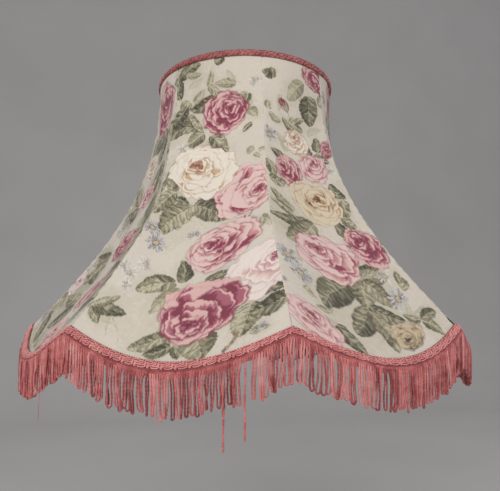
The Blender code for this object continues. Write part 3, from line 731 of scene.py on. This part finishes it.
cotton = printed_cotton()
PANEL_CUTS = ((1, 0), (2, -30), (0, 24), (1, -38), (2, 16), (0, -30), (2, 0), (0, 0))
for number, (cut, slip) in enumerate(PANEL_CUTS):
    t = np.linspace(0, 1, COVER_ROWS)[:, None]
    across = np.linspace(0, 1, COVER_COLUMNS)[None, :]
    angle = strut_angle(number, t) * (1 - across) + strut_angle(number + 1, t) * across
    angle = np.clip(angle, strut_angle(number, t) + 1e-6, strut_angle(number + 1, t) - 1e-6)
    flat = wall(angle, t)
    widths = np.linalg.norm(np.diff(flat, axis=1), axis=-1).sum(1)[:, None] * 1000
    middle = flat[:, COVER_COLUMNS // 2]
    down = np.concatenate(([0], np.cumsum(np.linalg.norm(np.diff(middle, axis=0), axis=1)))) * 1000
    x = (across - 0.5) * widths
    y = np.broadcast_to(down[:, None], x.shape)
    seam = widths / 2 - np.abs(x)
    tuck = 0.00045 * np.exp(-(seam / 1.1) ** 2)
    pucker = 0.00022 * np.exp(-seam / 7) * np.sin(y / 2.1 + 3 * grain(y / 20, x / 60, number + 70))
    pull = 0.0011 * grain(x / 34 + 9, y / 52, number + 80) * ease(0, 20, seam)
    drag = 0.0007 * np.sin(x / 9 + y / 17) * ease(0.86, 1.0, t) * ease(60, 4, seam)
    points = wall(angle, t, tuck + pucker + pull * 0.6 + drag)
    warped_x = x + 0.9 * grain(x / 5, y / 5, 90) + 0.5 * grain(x / 2, y / 2, 92)
    warped_y = y + 0.9 * grain(x / 5 + 31, y / 5, 91) + 0.5 * grain(x / 2, y / 2 + 17, 93)
    cloth = PrintedCloth(warped_x.ravel(), warped_y.ravel())
    print_panel(cloth, cut, slip, number + 100)
    flat_mm = np.stack((x, y), -1).reshape(-1, 2)
    panel = make_piece(f"cotton_panel_{number + 1}", points.reshape(-1, 3),
                       grid_faces(COVER_ROWS, COVER_COLUMNS), cotton,
                       cloth=flat_mm / 1000 + number, colour=np.clip(cloth.ink, 0, 1))
    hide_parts(f"cover_panel_{number + 1}")

# ---- balloon lining ----------------------------------------------------------------------
# Cream acetate in two halves, stretched inside the struts. It rolls over both wire rings
# and is sewn down outside them, under the braid and the gimp.
LINING_INSET = 0.0061
LINING_ROWS, LINING_COLUMNS = 150, 360
TOP_ROLL, BASE_ROLL = 0.0026, 0.0024     # how far the lining stands off the middle of each ring


def acetate():
    """Cream acetate lining: a satin face with a soft broad shine and faint crosswise slubs."""
    material, tree = new_material("cream_acetate")
    flat = add(tree, "UVMap", uv_map="cloth").outputs[0]
    drawn = add(tree, "Mapping", {"Vector": flat, "Scale": (60, 700, 1)})
    slub = add(tree, "TexNoise", {"Vector": drawn.outputs[0], "Scale": 1.0, "Detail": 3.0})
    stain = add(tree, "TexNoise", {"Vector": flat, "Scale": 9.0, "Detail": 3.0})
    both = add(tree, "Math", {0: slub.outputs["Fac"], 1: stain.outputs["Fac"]}, operation="ADD")
    colour = ramp(tree, both.outputs[0], ((0.7, "cfc2a6"), (1.0, "dfd5bf"), (1.3, "e8e0cd")))
    raised = add(tree, "Bump", {"Height": slub.outputs["Fac"], "Strength": 0.25,
                                "Distance": 0.0003})
    surface(tree, {"Base Color": colour, "Roughness": 0.48, "Normal": raised.outputs[0],
                   "Sheen Weight": 0.2, "Sheen Roughness": 0.35})
    return material


def rolled(wire, angle, radius, turn):
    """One row of the lining rolled round a ring, after so many half turns from straight out."""
    reach = radius * np.array((math.cos(math.pi * turn), math.sin(math.pi * turn)))
    return (wire + outward(angle) * reach[0] + np.array((0, 0, reach[1])))[None]


lining_cloth = acetate()
for name, start, node in (("lining_half_front", -math.pi / 2, "lining_front"),
                          ("lining_half_back", math.pi / 2, "lining_back")):
    angle = start + np.linspace(0.0006, math.pi - 0.0006, LINING_COLUMNS)[None, :]
    t = np.linspace(0.012, 0.9975, LINING_ROWS)[:, None]
    gathers = 0.0006 * np.cos(angle * 48) * (np.exp(-t / 0.10) + 0.6 * np.exp((t - 1) / 0.07))
    sag = 0.0008 * grain(angle * 6, t * 5, 140)
    body = wall(angle, t, LINING_INSET + 0.0007 + gathers + sag)
    top_wire, base_wire = wall(angle[0], 0.010, 0.0031), wall(angle[0], 0.9955, 0.0034)
    over_top = [rolled(top_wire, angle[0], TOP_ROLL, turn) for turn in (0.15, 0.35, 0.55, 0.75, 0.95)]
    under_base = [rolled(base_wire, angle[0], BASE_ROLL, turn) for turn in (1.15, 1.35, 1.6, 1.85)]
    points = np.concatenate([*over_top, body, *under_base])
    steps = np.linalg.norm(np.diff(points[:, LINING_COLUMNS // 2], axis=0), axis=1)
    down = np.concatenate(([0], np.cumsum(steps)))
    cloth = np.stack(np.broadcast_arrays(angle * 0.17, down[:, None]), -1).reshape(-1, 2)
    piece = make_piece(name, points.reshape(-1, 3),
                       grid_faces(len(points), LINING_COLUMNS)[:, ::-1], lining_cloth, cloth)
    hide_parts(node)

# ---- neateners ---------------------------------------------------------------------------
# A folded strip of the lining cloth hides the slit where each arm passes through. It is
# pinned round the arm and its ends are tucked in.
for name, side in (("neatener_left", -1), ("neatener_right", 1)):
    angle = side * math.pi / 2 + np.linspace(-0.068, 0.068, 41)[None, :]
    t = np.linspace(0.016, 0.078, 33)[:, None]
    across = np.linspace(-1, 1, 41)[None, :]
    down = np.linspace(-1, 1, 33)[:, None]
    pad = 0.0011 * (1 - across ** 8) * (1 - down ** 8) + 0.0005 * np.cos(across * 9) * (1 - across ** 6)
    points = wall(angle, t, LINING_INSET + 0.0009 + pad)
    cloth = np.stack(np.broadcast_arrays(across * 0.008, down * 0.010), -1).reshape(-1, 2)
    piece = make_piece(name + "_strip", points.reshape(-1, 3), grid_faces(33, 41)[:, ::-1],
                       lining_cloth, cloth)
    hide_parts(name)

# ---- scroll gimp and knitted heading -----------------------------------------------------
# Gimp covers the stitching along the scalloped edge: slanted ribs, a picot edge, and two
# pairs of cords that scroll past each other on top. The loops' heading, a narrow knitted
# band of upright strands, hangs from under it.
GIMP_HEIGHT = 0.0068
GIMP_REPEATS = 18         # scrolls along each lobe
GIMP_SWING = 0.00165
SCROLL_THICK = 0.00140
CORD_PITCH = 0.0026       # of the twist in the scrolled cords
CORD_APART = 0.0014       # middle to middle, in each pair of cords
CORD_STEPS = 18           # points along each scroll
EDGE_TO_EDGE = 0.372      # about the way down the cloth, from its top edge to its lower edge

gimp_yarn = viscose_yarn("gimp_viscose", "8f3c3f", "cd7775", "f0a8a0")
edge_angles = np.linspace(0, 2 * math.pi, 12 * 1000 + 1)
edge_steps = np.linalg.norm(np.diff(wall(edge_angles, 1.0), axis=0), axis=1)
edge_length = np.concatenate(([0], np.cumsum(edge_steps)))
lobe_length = edge_length[-1] / PANELS


def on_edge(along, height, stand):
    """Points along the lower edge, height above it up the cloth and standing off the cloth."""
    along, height, stand = np.broadcast_arrays(np.asarray(along, float), height, stand)
    angle = np.interp(along % edge_length[-1], edge_length, edge_angles)
    t = 1 - height / EDGE_TO_EDGE
    base = wall(angle, np.clip(t, 0, 1)) + np.stack((0 * t, 0 * t, np.minimum(height, 0)), -1)
    up = wall(angle, 0.97) - wall(angle, 0.99)
    face = np.cross(up, wall(angle + 1e-4, 0.98) - wall(angle - 1e-4, 0.98))
    face /= np.linalg.norm(face, axis=-1, keepdims=True)
    face *= np.sign((face * outward(angle)).sum(-1, keepdims=True))
    return base + face * stand[..., None], face


def join(parts):
    """One mesh from several (points, faces, cloth) parts."""
    shift, points, faces, cloth = 0, [], [], []
    for p, f, c in parts:
        points.append(p)
        faces.append(f + shift)
        cloth.append(c)
        shift += len(p)
    return np.vstack(points), np.vstack(faces), np.vstack(cloth)


# two pairs of cords, over and under each other in turn
turn = np.linspace(0, 2 * math.pi * GIMP_REPEATS * PANELS,
                   GIMP_REPEATS * PANELS * CORD_STEPS + 1)
lines, faces_out = [], []
for way in (1, -1):
    for cord in (-0.5, 0.5):
        along = turn / (2 * math.pi) * lobe_length / GIMP_REPEATS + 0.0019 * way * np.sin(2 * turn)
        height = 0.0036 + way * GIMP_SWING * np.sin(turn) + cord * CORD_APART
        stand = 0.0019 + 0.0006 * way * np.cos(turn)
        line, face = on_edge(along, height, stand)
        lines.append(line)
        faces_out.append(face)
parts = [twist_yarn(lines, np.array(faces_out), SCROLL_THICK, CORD_PITCH, sides=6)]
# slanted ribs under them
ribs = 170 * PANELS
rib_place = (np.arange(ribs) + 0.5) * edge_length[-1] / ribs
rise = GIMP_HEIGHT - 0.0008
rib_lines, rib_faces = zip(*(on_edge(rib_place + 0.0012 * share, 0.0004 + rise * share, 0.0007)
                             for share in np.linspace(0, 1, 5)))
parts.append(twist_yarn(np.array(rib_lines).transpose(1, 0, 2), np.array(rib_faces).transpose(1, 0, 2),
                        0.00125, 0.003, sides=6))
# picot edge, and the cord that closes the lower side
picots = 5 * GIMP_REPEATS * PANELS
turn = np.linspace(0, 2 * math.pi * picots, picots * 6 + 1)
line, face = on_edge(turn / (2 * math.pi) * edge_length[-1] / picots,
                     GIMP_HEIGHT - 0.0004 + 0.0006 * np.sin(turn), 0.0010 + 0.0002 * np.cos(turn))
parts.append(twist_yarn(line[None], face[None], 0.0009, 0.004, sides=5))
line, face = on_edge(np.linspace(0, edge_length[-1], 2600), 0.0004, 0.0012)
parts.append(twist_yarn(line[None], face[None], 0.0012, 0.0024, sides=6))
points, faces, cloth = join(parts)
dye_and_painted_light = -0.02 + 0.06 * grain(points[:, 0] * 90, points[:, 2] * 90, 150)
# the scrolled cords on top are inked paler than the ribs and edge cords under them: a painted highlight on
# the raised cords and painted shade beneath them
dye_and_painted_light[:len(lines) * len(lines[0]) * 6] += 0.36
gimp = make_piece("scroll_gimp", points, faces, gimp_yarn, cloth, dye_and_painted_light)

LOOPS = 50                # loops along each lobe
legs = 3 * LOOPS * PANELS
leg_angles = (np.arange(legs) + 0.5) * 2 * math.pi / legs
draw = np.random.default_rng(160)
lean = draw.uniform(-0.0005, 0.0005, legs) / EDGE_RADIUS
lengths = HEADING_HEIGHT + 0.0008 + draw.uniform(-0.0005, 0.0005, legs)
paths = []
for share in np.linspace(0, 1, 7):
    swell = 0.0010 + 0.0003 * math.sin(math.pi * share)
    paths.append(hanging(leg_angles + lean * share, lengths * share - 0.0008, swell))
parts = [twist_yarn(np.array(paths).transpose(1, 0, 2), outward(leg_angles)[:, None],
                    0.00150, 0.0030, sides=6)]
turn = np.linspace(0, 2 * math.pi, 3400)
for drop, outset, thick in ((0.0010, 0.0016, 0.0009), (0.0034, 0.0008, 0.0008)):
    line = hanging(turn, drop + 0.0002 * np.sin(turn * legs / 3), outset)
    parts.append(twist_yarn(line[None], outward(turn)[None], thick, 0.0021, sides=6))
points, faces, cloth = join(parts)
dye_and_painted_light = 0.16 + 0.08 * grain(points[:, 0] * 300, points[:, 1] * 300, 151)
heading = make_piece("knitted_heading", points, faces, fringe_yarn, cloth, dye_and_painted_light)
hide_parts("fringe_header")

# ---- looped fringe -----------------------------------------------------------------------
# Each loop is one yarn that drops from the heading, turns and climbs back. The loops hang
# side by side, some wound round themselves or their neighbour, and no two quite alike.
LOOP_DEPTH = 0.034        # lower edge of the cloth to the bottom of a loop
LEG_RINGS = 34
TURN_RINGS = 12
LOOP_GAP = range(40, 42)  # loops missing at the fringe's join, on the front lobe

shares = np.concatenate((np.linspace(0, 1, LEG_RINGS), np.full(TURN_RINGS, 1.0),
                         np.linspace(1, 0, LEG_RINGS)))
turning = np.concatenate((np.zeros(LEG_RINGS), np.linspace(0, 1, TURN_RINGS + 2)[1:-1],
                          np.ones(LEG_RINGS))) * math.pi

for lobe in range(PANELS):
    draw = np.random.default_rng(200 + lobe)
    paths, sides_out, thick, tints = [], [], [], []
    for number in range(LOOPS):
        angle = (lobe + (number + 0.5) / LOOPS) * PANEL_ANGLE
        if lobe == PANELS - 1 and number in LOOP_GAP:
            continue
        wide = draw.uniform(0.0022, 0.0040)
        long = LOOP_DEPTH - 0.0012 + draw.normal(0, 0.0013)
        twist = draw.choice((0.1, 0.1, 0.2, 0.3, 0.5, 1.0), p=(0.3, 0.2, 0.2, 0.14, 0.1, 0.06))
        twist *= math.pi * draw.choice((-1, 1))
        drift = draw.normal(0, 0.0011)
        belly = draw.normal(0, 0.0008)
        stand = draw.uniform(0.0006, 0.0026)
        bottom = wide * 0.62
        depth = shares * (long - bottom) + bottom * np.sin(turning)
        part = depth / long
        spread = 0.0011 + (wide / 2 - 0.0011) * ease(0.1, 0.9, part)
        half = spread * np.cos(turning)
        swing = twist * ease(0.15, 1.0, part) + draw.normal(0, 0.3)
        lateral = half * np.cos(swing) + drift * part ** 1.6 + belly * np.sin(math.pi * part)
        depthwise = half * np.sin(swing) * 0.8
        wave = 0.00018 * np.sin(part * draw.uniform(9, 16) + draw.uniform(0, 6))
        angles = angle + (lateral + wave) / EDGE_RADIUS
        out = stand + depthwise - 0.0010 * ease(0.3, 1, part)
        drop = depth + 0.0010
        line = hanging(angles, drop, out)
        # a yarn hangs from where it starts, and doesn't follow the scallop as it drifts
        edge_z = wall(angles, 1.0)[:, 2]
        start_z = wall(np.full(len(angles), angle), 1.0)[:, 2]
        line[:, 2] += (start_z - edge_z) * ease(0, 0.5, part)
        sideways = np.stack((np.cos(angles), np.sin(angles), 0 * angles), -1)
        paths.append(line)
        sides_out.append(outward(angles) * np.cos(swing)[:, None] - sideways * np.sin(swing)[:, None])
        thick.append(np.full(len(line), YARN_THICK * draw.uniform(0.86, 1.08)))
        tints.append(draw.uniform(-0.06, 0.38))
    points, faces, cloth = twist_yarn(paths, np.array(sides_out), np.array(thick), YARN_PITCH)
    dye_and_painted_light = np.repeat(tints, len(points) // len(tints)) + 0.10
    # darker towards the bottom of the loops: painted shade on the underside of the fringe
    dye_and_painted_light = dye_and_painted_light - 0.14 * ease(-0.215, -0.27, points[:, 2])
    skirt = make_piece(f"loops_{lobe + 1}", points, faces, fringe_yarn, cloth, dye_and_painted_light)
    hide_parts(f"fringe_skirt_{lobe + 1}")

# ---- top braid ---------------------------------------------------------------------------
# The same kind of gimp, a little wider and in a darker ink, glued round the top edge.
BRAID_MIDDLE = TOP_Z + 0.001 - 0.0036
BRAID_REPEATS = 58

braid_yarn = viscose_yarn("darker_gimp_viscose", "7c3032", "a85450", "d88f89")
turn = np.linspace(0, 2 * math.pi * BRAID_REPEATS, BRAID_REPEATS * CORD_STEPS + 1)
lines, out = [], []
for way, cord in ((1, 0), (1, 1), (-1, 0), (-1, 1)):
    offset = (cord - 0.5) * CORD_APART
    angle = turn / BRAID_REPEATS + way * 0.011 * np.sin(2 * turn)
    height = BRAID_MIDDLE + way * 0.0019 * np.sin(turn) + offset
    radius = TOP_RADIUS + 0.0013 + 0.0005 * way * np.cos(turn)
    lines.append(outward(angle) * radius[:, None] + np.array((0, 0, 1)) * height[:, None])
    out.append(outward(angle))
parts = [twist_yarn(lines, np.array(out), SCROLL_THICK, CORD_PITCH, sides=6)]
turn = np.linspace(0, 2 * math.pi, 900)
for height, thick in ((0.0033, 0.0011), (-0.0031, 0.0011), (0.0011, 0.0016), (-0.0011, 0.0016)):
    line = outward(turn) * (TOP_RADIUS + 0.0009) + np.array((0, 0, BRAID_MIDDLE + height))
    parts.append(twist_yarn(line[None], outward(turn)[None], thick, CORD_PITCH, sides=6))
points, faces, cloth = join(parts)
dye_and_painted_light = 0.02 + 0.06 * grain(points[:, 0] * 120, points[:, 1] * 120, 152)
# the scrolled cords are inked paler than the flat cords round them: a painted highlight on the raised cords
dye_and_painted_light[:len(lines) * len(lines[0]) * 6] += 0.28
braid = make_piece("scroll_braid", points, faces, braid_yarn, cloth, dye_and_painted_light)
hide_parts("top_braid")

# ---- wire frame --------------------------------------------------------------------------
# Steel wire dipped in white enamel, which has yellowed and worn through in places.
enamel, tree = new_material("white_enamelled_wire")
place = add(tree, "TexCoord").outputs["Object"]
wear = add(tree, "TexNoise", {"Vector": place, "Scale": 260.0, "Detail": 6.0, "Roughness": 0.65})
yellowing = add(tree, "TexNoise", {"Vector": place, "Scale": 30.0, "Detail": 3.0})
coat = ramp(tree, yellowing.outputs["Fac"], ((0.3, "d8d2bf"), (0.7, "ebe6d8")))
bare = add(tree, "MapRange", {0: wear.outputs["Fac"], 1: 0.66, 2: 0.72, 3: 0.0, 4: 1.0})
mixed = add(tree, "Mix", {0: bare.outputs[0], 6: coat, 7: "6e6258"}, data_type="RGBA")
raised = add(tree, "Bump", {"Height": wear.outputs["Fac"], "Strength": 0.2, "Distance": 0.0002})
surface(tree, {"Base Color": mixed.outputs[2], "Roughness": 0.35, "Normal": raised.outputs[0]})
wires = ["top_ring", "bottom_ring", "gimbal_arm_left", "gimbal_arm_right"]
wires += [f"strut_{number + 1}" for number in range(PANELS)]
for name in wires:
    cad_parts[name].material_slots[0].material = enamel

# ---- fitting ring and rivets -------------------------------------------------------------
# Stamped steel ring, brass plated, with two ears for the domed rivets. The plating is
# brushed round the ring and has dulled.
brass, tree = new_material("brass_plated_steel")
place = add(tree, "TexCoord").outputs["Object"]
drawn = add(tree, "Mapping", {"Vector": place, "Scale": (300, 300, 2500)})
brushed = add(tree, "TexNoise", {"Vector": drawn.outputs[0], "Scale": 1.0, "Detail": 4.0})
dulled = add(tree, "TexNoise", {"Vector": place, "Scale": 190.0, "Detail": 5.0})
colour = ramp(tree, dulled.outputs["Fac"], ((0.3, "8d7747"), (0.55, "b9a067"), (0.8, "cdb67c")))
rough = add(tree, "MapRange", {0: dulled.outputs["Fac"], 1: 0.3, 2: 0.7, 3: 0.42, 4: 0.24})
raised = add(tree, "Bump", {"Height": brushed.outputs["Fac"], "Strength": 0.15,
                            "Distance": 0.0001})
surface(tree, {"Base Color": colour, "Metallic": 1.0, "Roughness": rough.outputs[0],
               "Normal": raised.outputs[0]})
for name in ("fitting_ring", "pivot_rivet_left", "pivot_rivet_right"):
    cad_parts[name].material_slots[0].material = brass
